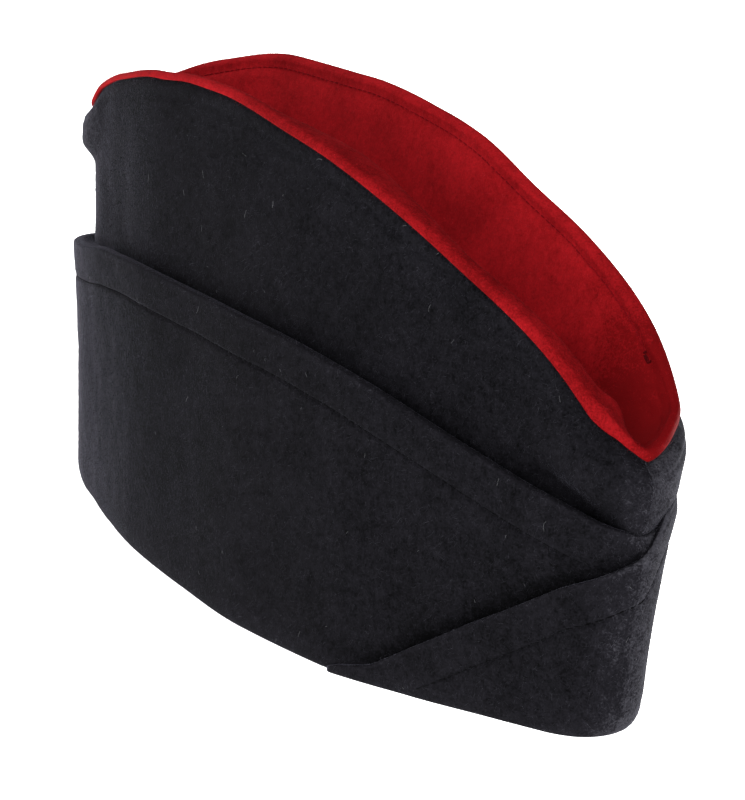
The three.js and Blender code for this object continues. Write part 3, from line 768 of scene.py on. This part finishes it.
# %% Section of the cuff, carried round
def cuff_half(name, node, side, turns, edge, seed, lane=0, strip=1, slack=1, lean_in=0, flare=0, pressed=0):
    """Half of the cuff. turns run from 0 at the back seam to 1 at the front seam and on past it, on the
    other side. The section's outer line is strip, quarter ellipse, face and edge; the inner line comes
    back a cloth's thickness inside it, thicker in the hem. The fold at the foot is rounder at both ends
    of the cap. The last values say how far out the half lies, how much of its strip is there, how loose it
    stands, how far its edge leans in or flares out, and whether the flap presses it in, with painted
    shadow above the flap's edge."""
    past = turns > 1
    here, loop = np.where(past, -side, side), np.where(past, 2 - turns, turns)
    stand, full, strip = measure["stand"](loop) * slack, measure["cuff"](loop), strip + 0 * loop

    def in_face(z):
        rise = stand * np.maximum(z / full, 0) ** STAND_POWER + flare * bump(edge - z, 0, FLARE_WIDTH)
        sunk = lean_in * ease(z, full + LEAN_FROM, full + LEAN_FULL) + foot_tuck(loop, z)
        return CUFF_INSIDE + rise + lane * CUFF_LANE - sunk - pressed * flap_press(turns, z)

    foot = in_face(0 * loop)
    low = foot + CUFF_CLOTH
    ends = BACK_ROUND * (1 - ease(loop, 0, BACK_REACH)) + FRONT_ROUND * ease(loop, 1 - FRONT_REACH, 1)
    fold = np.minimum(FOLD_RADIUS + ends, FOLD_MOST * edge)
    fold_in = np.minimum(fold, low + foot_tuck(loop, 0) - STRIP_INSIDE - FOLD_LEAST)
    height = edge - fold
    hem_z = edge - np.minimum(HEM_DEPTH + HEM_SPACE, height * HEM_MOST)
    round_z = edge - np.minimum(EDGE_ROUND, height * EDGE_MOST)
    face_z = np.concatenate([
        lerp(fold, hem_z, np.linspace(0, 1, FACE_POINTS + 1)[None, :-1]),
        lerp(hem_z, round_z, np.linspace(0, 1, HEM_POINTS)[None, :]),
    ], axis=1)
    share = np.linspace(0, 1, STRIP_POINTS)[None, :]
    strip_in = lerp(foot, STRIP_INSIDE - foot_tuck(loop, 0), strip)
    strip_out = lerp(foot + BEND, low - fold_in, strip)
    turn = np.linspace(0, np.pi / 2, FOLD_POINTS + 1)[None, 1:-1]
    edge_turn = np.linspace(0, EDGE_TURN * np.pi / 2, EDGE_POINTS + 1)[None, 1:]
    hem = (HEM_EXTRA + BACK_HEM * (1 - ease(loop, *BACK_HEM_ENDS))) * strip
    in_wall = in_face(face_z) - hem * ease(face_z - hem_z, *HEM_STEP)
    out_wall = in_face(face_z) + CUFF_CLOTH
    crest_out = (out_wall[:, -1:] + in_wall[:, -1:]) / 2
    edge_z = lerp(round_z, edge, np.sin(edge_turn) ** EDGE_SQUARE)
    inward = np.clip(np.cos(edge_turn), 0, 1) ** EDGE_SQUARE
    outer_out = np.concatenate([
        lerp(strip_in, strip_out, share),
        lerp(strip_out, in_face(fold) + CUFF_CLOTH, np.sin(turn)),
        out_wall,
        lerp(crest_out, out_wall[:, -1:], inward),
    ], axis=1)
    fold_z = fold * (1 - np.cos(turn))
    outer_z = np.concatenate([0 * strip_in + 0 * share, fold_z, face_z, edge_z], axis=1)
    strip_top, corner_z = lerp(BEND, CUFF_CLOTH, strip), lerp(2 * BEND, CUFF_CLOTH, strip)
    corner_out = foot - FOLD_INSIDE * strip
    inner_out = np.concatenate([
        lerp(strip_in, corner_out, share),
        lerp(corner_out, in_face(fold), np.sin(turn)),
        in_wall,
        lerp(crest_out, in_wall[:, -1:], inward),
    ], axis=1)
    inner_z = np.concatenate([
        lerp(strip_top, corner_z, share), lerp(corner_z, fold, 1 - np.cos(turn)), face_z, edge_z,
    ], axis=1)
    u = run_along(wall(here, loop, outer_z, outer_out))
    slope = np.gradient(edge[:, 0]) / np.maximum(np.gradient(u[:, -1]), LEAST_STEP)
    from_edge = (edge - outer_z) / np.sqrt(1 + slope[:, None] ** 2)
    seen = ease(outer_z, *LUMPS_OVER_TABLE) * ease(from_edge, *LUMPS_UNDER_EDGE) * ease(u, 0, SEAM_FADE)
    lumpy = lumps(u, outer_z, CUFF_LUMPS, seed)
    band = HEM_SWELL * np.sin(np.pi * np.clip(from_edge / HEM_DEPTH, 0, 1))
    band = band - HEM_DENT * bump(from_edge, HEM_DEPTH, HEM_DENT_WIDTH)
    outer = wall(here, loop, outer_z, outer_out + (lumpy + band) * seen)
    inner = wall(here, loop, inner_z, inner_out)
    points, faces, lids = shell(outer, inner)
    # Painted highlight at the upper edge, painted glow along the fold on the table and at the cap's ends.
    edge_rub = EDGE_GLOW * bump(from_edge, 0, EDGE_GLOW_WIDTH)
    foot_rub = FOOT_GLOW * bump(outer_z, 0, FOOT_GLOW_WIDTH) * (outer_z > 0)
    painted_light = np.maximum(edge_rub, foot_rub) + painted_edge_glow(here, loop)
    # Painted shadow on the cloth above the flap's edge.
    painted_light = painted_light - FLAP_EDGE_SHADOW * pressed * flap_press(turns, outer_z)
    normals = net_normals(outer, outer - inner)
    cloth[name] = dict(net=outer, normals=normals, from_edge=from_edge, painted_light=painted_light)
    rub = np.concatenate([painted_light, 0 * painted_light], axis=1)
    piece = new_piece(name, points, faces, dark_wool, "dark_wool", lids, rub=rub)
    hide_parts(node)
    return piece


# %% Right half, tucked under at the front
CUFF_ROWS, CUFF_SEED = 210, 41
turns = np.linspace(0, 2 - TUCK_END, CUFF_ROWS)[:, None]
right_edge = measure["cuff"](np.minimum(turns, 1))
cuff_right = cuff_half("cuff_half_right", "cuff_right", RIGHT, turns, right_edge, CUFF_SEED, pressed=1)

# %% Left half, wrapped over the nose
SIDE_ROWS, FLAP_ROWS, FLAP_SEED = 79, 170, 51
FLAP_FROM, TIP_FROM, TIP_END = 0.75, 1.26, 2 - SLANT[0, 0]
TIP_LANE = 0.6
NOSE_LEAN, LEAN_ON, LEAN_OFF = 1.5, (0.88, 0.95), (1.0, 1.04)
NOSE_TIGHT, TIGHT_ON, TIGHT_OFF = 0.35, (0.85, 0.91), (0.97, 1.01)
FLAP_FLARE, FLARE_ON = 0.3, (0.86, 0.92)
turns = np.concatenate([
    np.linspace(0, FLAP_FROM, SIDE_ROWS, endpoint=False), np.linspace(FLAP_FROM, TIP_END, FLAP_ROWS),
])[:, None]
on_slant = 2 - turns < SLANT[-1, 0]
left_edge = np.where(on_slant, slant_edge(2 - turns), measure["cuff"](np.minimum(turns, 1)))
at_tip = ease(turns, TIP_FROM, TIP_END)
lane = np.where(turns > 1, lerp(1, TIP_LANE, at_tip), ease(turns, LANE_FROM, LANE_FULL))
strip = np.where(turns > 1, 0, 1 - ease(turns, STRIP_FROM, STRIP_NONE))
lean_in = NOSE_LEAN * ease(turns, *LEAN_ON) * (1 - ease(turns, *LEAN_OFF))
slack = 1 - NOSE_TIGHT * ease(turns, *TIGHT_ON) * (1 - ease(turns, *TIGHT_OFF))
flare = FLAP_FLARE * ease(turns, *FLARE_ON) * (1 - at_tip)
cuff_left = cuff_half(
    "cuff_half_left", "cuff_left", LEFT, turns, left_edge, FLAP_SEED, lane, strip, slack, lean_in, flare
)

# %% [markdown]
# ## Stitches
#
# The hem of the cuff and the edge of the red top are sewn by machine, and the thread sinks into the felt,
# so a seam shows as a fine broken line in a shallow groove. Each stitch is a short bead of thread: a
# six-sided tube that thins to both ends and rises a little in the middle. All stitches of a seam are one
# joined mesh, because hundreds of objects would be slow to handle.

# %% Beads of thread along a line
BEAD = np.array([0.4, 0.9, 1.0, 0.9, 0.4])
TUBE_SIDES = 6
ASLANT = np.array([0.31, 0.52, 0.80])


def line_at(net, values, level):
    """Points of a net where its values, falling along each row, pass a level: a straight blend of the two
    points on either side of it."""
    rows = np.arange(len(net))
    k = np.clip((values > level).sum(axis=1) - 1, 0, net.shape[1] - 2)
    high, low = values[rows, k], values[rows, k + 1]
    share = np.clip((high - level) / np.maximum(high - low, TINY), 0, 1)[:, None]
    return lerp(net[rows, k], net[rows, k + 1], share)


def along_line(run, vectors, distance):
    """Vectors at distances along a line, by straight blends between those at its points; run holds how far
    along the line each point lies."""
    return np.stack([np.interp(distance, run, vectors[:, axis]) for axis in range(3)], -1)


def stitch_paths(line, normals, pitch, fill, rise):
    """Short arcs along a line: one per pitch, filling a share of it, raised by a sine over their length."""
    run = run_along(line)
    starts = np.arange(0.5 * pitch, run[-1] - pitch, pitch)[:, None]
    share = np.linspace(0, 1, len(BEAD))[None, :]
    distance = starts + share * pitch * fill
    upward = unit(along_line(run, normals, distance))
    return along_line(run, line, distance) + upward * (rise * np.sin(np.pi * share))[..., None]


def strands(paths, radius, taper):
    """Joined tubes: round each point of each path a ring of six points, at the radius times the taper
    there, across the path's direction; the end rings are shut by two quads each."""
    count, steps = paths.shape[:2]
    forward = unit(np.gradient(paths, axis=1))
    across = unit(np.cross(forward, ASLANT))
    third = np.cross(forward, across)
    angle = 2 * np.pi * np.arange(TUBE_SIDES) / TUBE_SIDES
    spread = np.cos(angle)[:, None] * across[:, :, None] + np.sin(angle)[:, None] * third[:, :, None]
    points = paths[:, :, None] + spread * (radius * taper)[:, None, None]
    sides = grid_faces(steps, TUBE_SIDES, closed_columns=True)
    lid = np.array([[0, 1, 2, 3], [0, 3, 4, 5]])
    one = np.concatenate([sides, lid, lid[:, ::-1] + (steps - 1) * TUBE_SIDES])
    each = one[None] + (np.arange(count) * steps * TUBE_SIDES)[:, None, None]
    points, faces = points.reshape(-1, 3), each.reshape(-1, 4)
    own = points[one] - paths[0].mean(axis=0)
    volume = (own[:, 0] * np.cross(own[:, 1], own[:, 2])).sum()
    volume = volume + (own[:, 0] * np.cross(own[:, 2], own[:, 3])).sum()
    return points, faces if volume > 0 else faces[:, ::-1]


print("triangles in one stitch:", 2 * ((len(BEAD) - 1) * TUBE_SIDES + 4))

# %% Seams of the cuff and the red top
HEM_THREAD, TOP_THREAD = 0.16, 0.16
HEM_PITCH, TOP_PITCH = 2.7, 2.3
THREAD_SUNK, HEM_SPARE = 0.02, 1.5
STITCH_FILL, STITCH_RISE, STITCH_STARTS = 0.86, 0.8, 0.1


def sew(name, net, normals, values, level, pitch, radius, material, slot):
    """A row of stitches on a surface, along the line where its values pass a level."""
    line, upward = line_at(net, values, level), unit(line_at(normals, values, level))
    paths = stitch_paths(line - upward * THREAD_SUNK, upward, pitch, STITCH_FILL, radius * STITCH_RISE)
    points, faces = strands(paths, radius, BEAD)
    return new_piece(name, points, faces, material, slot, rub=np.zeros(len(points)))


for name, c in cloth.items():
    if "from_edge" in c:
        deep = c["from_edge"].max(axis=1) > HEM_DEPTH + HEM_SPARE
        sew(f"{name}_hem_stitches", c["net"][deep], c["normals"][deep], c["from_edge"][deep], HEM_DEPTH,
            HEM_PITCH, HEM_THREAD, dark_thread, "dark_wool")
sewn_rows = is_left[:, 0] & (top_loop[:, 0] > STITCH_STARTS) & (top_loop[:, 0] < STITCH_ENDS)
sew("top_seam_stitches", top_cloth[sewn_rows], top_normals[sewn_rows], -from_crest[sewn_rows], -TOP_STITCH,
    TOP_PITCH, TOP_THREAD, red_thread, "red_wool")

# %% [markdown]
# ## The bar of stitches at the front
#
# Where the sewn line on the far side ends, a small bar tack holds it: a close row of stitches with a
# short foot at each end. It is worked out on the surface itself, from the step along the rim and the step
# across it, so that it lies flat on the cloth.

# %% Bar tack
TACK_LOOP, TACK_FROM_CREST = 0.821, 5.0
TACK_STROKES = np.array([
    [-1.7, -0.7, 1.6, -0.6], [-1.6, -0.7, -1.5, 0.6], [1.4, -0.9, 1.5, 0.9], [-1.0, -0.2, 1.2, -0.2],
])
TACK_THREAD, TACK_LIFT, TACK_COLUMN = 0.34, 0.12, BAND_STEPS + 6
row = TOP_ROWS + int(np.argmin(np.abs(top_loop[TOP_ROWS:, 0] - TACK_LOOP)))
spot = line_at(top_cloth[[row]], -from_crest[[row]], -TACK_FROM_CREST)[0]
rim_way = unit(top_cloth[row - 1] - top_cloth[row + 1])[TACK_COLUMN]
tack_up = unit(line_at(top_normals[[row]], -from_crest[[row]], -TACK_FROM_CREST)[0])
cross_way = unit(np.cross(tack_up, rim_way))
share = np.linspace(0, 1, len(BEAD))[None, :, None]
start = TACK_STROKES[:, None, 0:1] * rim_way + TACK_STROKES[:, None, 1:2] * cross_way
end = TACK_STROKES[:, None, 2:3] * rim_way + TACK_STROKES[:, None, 3:4] * cross_way
tack_paths = spot + lerp(start, end, share) + TACK_LIFT * tack_up
points, faces = strands(tack_paths, TACK_THREAD, BEAD)
new_piece("bar_tack", points, faces, tack_thread, "red_wool", rub=np.zeros(len(points)))

# %% [markdown]
# ## Nap that stands off the cloth
#
# Against the light every edge of a wool cap is fuzzy, because short fibres stand off the felt. A shader
# can't change an outline, so the longest fibres are real: slim spikes with three sides, thrown over each
# surface by chance, each leaning its own way. The near side and the rims get the most. A whole cloth's
# spikes are one mesh.

# %% Spikes on a surface
NAP_WIDTH, NAP_TILT, NAP_SPREAD, NAP_FALL = 0.075, (0.35, 1.50), 0.5, 0.9
NAP_SHADES, NAP_RARITY = (-1.5, 1.6), 3
NAP_ROOT, NAP_LOWEST = 0.05, 0.01
TETRAHEDRON = np.array([[0, 1, 3], [1, 2, 3], [2, 0, 3], [0, 2, 1]])


def scatter(net, normals, weight, count, rng, painted_light=0):
    """Random places on a net, with the normal and the painted light there: cells drawn by area times weight,
    then an even place in each cell."""
    a, b, c, d = net[:-1, :-1], net[1:, :-1], net[1:, 1:], net[:-1, 1:]
    area = np.linalg.norm(np.cross(c - a, d - b), axis=-1) * weight[:-1, :-1]
    cell = rng.choice(area.size, count, p=(area / area.sum()).ravel())
    i, j = np.unravel_index(cell, area.shape)
    s, t = rng.random((2, count, 1))

    def blend(values):
        low, high = lerp(values[i, j], values[i + 1, j], s), lerp(values[i, j + 1], values[i + 1, j + 1], s)
        return lerp(low, high, t)

    painted_light = (painted_light + 0 * net[..., 0])[..., None]
    return blend(net), unit(blend(normals)), blend(painted_light)[:, 0]


def spikes(places, normals, length, rng):
    """Slim closed tetrahedra: a small triangle just under the surface and a point above it, along the
    normal leant over by a random sideways vector that more often points down than up. Each has a random
    shade, and only a few of them are pale."""
    count = len(places)
    lean = rng.normal(size=(count, 3)) - np.array([0, 0, NAP_FALL])
    lean = unit(lean - (lean * normals).sum(-1, keepdims=True) * normals)
    tilt = lerp(*NAP_TILT, rng.random((count, 1)) ** NAP_SPREAD)
    way = np.cos(tilt) * normals + np.sin(tilt) * lean
    size = rng.uniform(*length, (count, 1))
    across = np.cross(normals, lean)
    angle = 2 * np.pi * np.arange(3) / 3
    ring = np.cos(angle)[None, :, None] * across[:, None] + np.sin(angle)[None, :, None] * lean[:, None]
    base = places[:, None] - NAP_ROOT * normals[:, None] + ring * NAP_WIDTH / 2
    tip = (places + way * size)[:, None]
    points = np.concatenate([base, tip], axis=1)
    points[..., 2] = np.maximum(points[..., 2], NAP_LOWEST)
    faces = (TETRAHEDRON[None] + 4 * np.arange(count)[:, None, None]).reshape(-1, 3)
    own = points[0, TETRAHEDRON] - points[0].mean(axis=0)
    outward = (own[:, 0] * np.cross(own[:, 1], own[:, 2])).sum() > 0
    shade = lerp(*NAP_SHADES, np.repeat(rng.random(count), 4) ** NAP_RARITY)
    return points.reshape(-1, 3), faces if outward else faces[:, ::-1], shade


# %% Nap of each cloth
NAP_SEED = 71
DARK_NAP, RED_NAP = (0.6, 2.0), (0.3, 1.1)
NAP_COUNT, RED_NAP_COUNT = {RIGHT: 32000, LEFT: 22000}, 28000
OFF_TABLE, OVER_CUFF, UNDER_RED = (0.3, 1.0), (48, 52), -0.2
RED_NAP_LEAST, RED_RIM, RED_ROLL = 0.25, (0, 6.0), (12, 14.0)
RED_ROLL_SHARE = 0.5
rng = np.random.default_rng(NAP_SEED)


def nap(name, net, normals, painted_light, weight, count, length, material, slot):
    """Spikes scattered over a net by weight; each one's mark is its own random shade plus the painted light
    at its root.
    """
    places, upward, painted_light_there = scatter(net, normals, weight, count, rng, painted_light)
    points, faces, shade = spikes(places, upward, length, rng)
    return new_piece(name, points, faces, material, slot, rub=shade + np.repeat(painted_light_there, 4))


for name, c in cloth.items():
    shown = ease(c["net"][..., 2], *OFF_TABLE)
    if "below_seam" in c:
        shown = shown * ease(c["net"][..., 2], *OVER_CUFF) * (c["below_seam"] > UNDER_RED)
    count = NAP_COUNT[RIGHT if name.endswith("right") else LEFT]
    nap(f"{name}_nap", c["net"], c["normals"], c["painted_light"], shown, count, DARK_NAP, dark_fibre, "dark_wool")
shown = RED_NAP_LEAST + bump(from_crest, *RED_RIM) + RED_ROLL_SHARE * bump(from_crest, *RED_ROLL)
nap("top_panel_nap", top_cloth, top_normals, top_painted_light, shown, RED_NAP_COUNT, RED_NAP, red_fibre, "red_wool")

# %% [markdown]
# ## Lint
#
# A few stray fibres lie on the cloth, as on any wool that has been handled. They are thin curls, thrown
# over the dark cloth by chance, each turned its own way and bent into an arc.

# %% Curls of lint
LINT_COUNTS = {"crown_side_right": 28, "crown_side_left": 18, "cuff_half_right": 42, "cuff_half_left": 28}
LINT_LENGTH, LINT_CURL, LINT_RADIUS, LINT_LIFT = (0.6, 2.8), 0.35, 0.035, 0.12
LINT_POINTS, CROWN_LINT_FROM, CUFF_LINT_FROM = 7, 52, 2
lint_paths = []
for name, count in LINT_COUNTS.items():
    net, normals = cloth[name]["net"], cloth[name]["normals"]
    lowest = CROWN_LINT_FROM if "crown" in name else CUFF_LINT_FROM
    places, upward, _ = scatter(net, normals, (net[..., 2] > lowest).astype(float), count, rng)
    forward = unit(np.cross(upward, np.array([0, 0, 1.0])))
    aside = np.cross(upward, forward)
    turn = rng.uniform(0, np.pi, (count, 1, 1))
    length = lerp(*LINT_LENGTH, rng.random((count, 1, 1)) ** 2)
    curl = LINT_CURL * rng.normal(size=(count, 1, 1))
    share = np.linspace(-0.5, 0.5, LINT_POINTS)[None, :, None]
    way = np.cos(turn) * forward[:, None] + np.sin(turn) * aside[:, None]
    off = np.cos(turn) * aside[:, None] - np.sin(turn) * forward[:, None]
    bow = curl * length * (0.25 - share**2)
    lint_paths.append(places[:, None] + share * length * way + bow * off + LINT_LIFT * upward[:, None])
points, faces = strands(np.concatenate(lint_paths), LINT_RADIUS, np.ones(LINT_POINTS))
new_piece("lint", points, faces, pale_lint, "dark_wool", rub=np.zeros(len(points)))

# %% [markdown]
# ## Room, light and camera
#
# The cap stands on a plain pale table that glows, as a light table does, in soft light from all round. A
# large lamp shines from the front, a small one lies low before the cap, one hangs above it, and one on
# each side brings out the nap along the edges. The camera has a long lens and looks down a little, from
# in front of the cap's right side.

# %% Floor
FLOOR_HALF = 4000.0
FLOOR_COLOUR, FLOOR_ROUGHNESS, FLOOR_GLOW = (0.80, 0.80, 0.80, 1), 0.9, 1.8
WHITE = (1, 1, 1, 1)
corners = FLOOR_HALF * np.array([[-1, -1, 0], [1, -1, 0], [1, 1, 0], [-1, 1, 0]], float)
floor_mesh = bpy.data.meshes.new("floor")
floor_mesh.from_pydata((corners * MM).tolist(), [], [(0, 1, 2, 3)])
floor = bpy.data.objects.new("floor", floor_mesh)
bpy.context.scene.collection.objects.link(floor)
pale = bpy.data.materials.new("pale_floor")
pale.use_nodes = True
pale_shader = pale.node_tree.nodes["Principled BSDF"]
pale_shader.inputs["Base Color"].default_value = FLOOR_COLOUR
pale_shader.inputs["Roughness"].default_value = FLOOR_ROUGHNESS
pale_shader.inputs["Emission Color"].default_value = WHITE
pale_shader.inputs["Emission Strength"].default_value = FLOOR_GLOW
floor_mesh.materials.append(pale)
print("floor:", 2 * FLOOR_HALF * MM, "m across")

# %% Light
ROOM_LIGHT = 0.20


def area_lamp(name, place, aim, size, power, tall=None):
    """A lamp at a place, turned so that it shines at its aim: square, or as tall as stated."""
    data = bpy.data.lights.new(name, "AREA")
    data.shape = "RECTANGLE"
    data.size, data.size_y, data.energy = size, tall or size, power
    lamp = bpy.data.objects.new(name, data)
    bpy.context.scene.collection.objects.link(lamp)
    way = np.asarray(aim, float) - np.asarray(place, float)
    down = math.atan2(-way[2], math.hypot(way[0], way[1]))
    lamp.location = place
    lamp.rotation_euler = (math.pi / 2 - down, 0, math.atan2(way[1], way[0]) - math.pi / 2)
    return lamp


world = bpy.data.worlds.new("soft_room")
world.use_nodes = True
world.node_tree.nodes["Background"].inputs["Color"].default_value = WHITE
world.node_tree.nodes["Background"].inputs["Strength"].default_value = ROOM_LIGHT
bpy.context.scene.world = world
area_lamp("front_softbox", (1.02, -0.66, 0.34), (0, 0, 0.08), 0.9, 11.5)
area_lamp("front_low_light", (0.40, -0.53, 0.08), (0.06, 0, 0.02), 0.45, 2.1)
area_lamp("top_light", (0.05, -0.25, 1.10), (0.03, 0, 0.08), 0.6, 7.0)
area_lamp("left_light", (-1.10, -0.30, 0.28), (-0.10, 0, 0.07), 1.2, 9.0)
area_lamp("right_edge_light", (-0.20, 1.12, 0.05), (0.12, 0, 0.05), 0.5, 32.0, tall=0.10)
bpy.context.scene.view_settings.view_transform = "Standard"
print("lamps:", sorted(light.name for light in bpy.data.lights))

# %% Camera
CAMERA_PLACE = (0.77496, -0.45340, 0.27690)
CAMERA_TURN, CAMERA_DOWN = 58.957, 14.0
SENSOR, LENS = 36.0, 161.45
camera_data = bpy.data.cameras.new("camera")
camera_data.sensor_fit = "VERTICAL"
camera_data.sensor_height = SENSOR
camera_data.lens = LENS
camera = bpy.data.objects.new("camera", camera_data)
camera.location = CAMERA_PLACE
camera.rotation_euler = (math.radians(90 - CAMERA_DOWN), 0, math.radians(CAMERA_TURN))
bpy.context.scene.collection.objects.link(camera)
bpy.context.scene.camera = camera
print("camera:", LENS, "mm lens, looking down", CAMERA_DOWN, "degrees")

# %% [markdown]
# ## Flat cuts
#
# Every panel is a sheet of cloth, so its flat cut is stated, as measured along its own outer face.

# %% Flat cuts
def flat_cut(net):
    """Width, length and area of a net in metres: the longest run along its columns, the longest along its
    rows and the sum of its cells' areas."""
    a, b, c, d = net[:-1, :-1], net[1:, :-1], net[1:, 1:], net[:-1, 1:]
    area = np.linalg.norm(np.cross(c - a, d - b), axis=-1).sum() / 2
    return run_along(net, 1)[:, -1].max() * MM, run_along(net, 0)[-1].max() * MM, area * MM * MM


right_top = top_cloth[: TOP_ROWS + 1]
left_top = np.roll(top_cloth[::-1], 1, axis=0)[: TOP_ROWS + 1]
across_top = np.concatenate([right_top, left_top[:, -2::-1]], axis=1)
SHEETS = (
    (crown_right, cloth["crown_side_right"]["net"], "stretched", ["cuff_half_right"]),
    (crown_left, cloth["crown_side_left"]["net"], "stretched", ["cuff_half_left"]),
    (crown_top, across_top, "folded", ["crown_side_right", "crown_side_left"]),
    (cuff_right, cloth["cuff_half_right"]["net"], "folded", ["crown_side_right"]),
    (cuff_left, cloth["cuff_half_left"]["net"], "folded", ["crown_side_left", "cuff_half_right"]),
)
for piece, net, held, rests_on in SHEETS:
    width, length, area = (round(float(value), 4) for value in flat_cut(net))
    print(piece.name, "was cut from", width, "by", length, "m, area", area, "square metres")
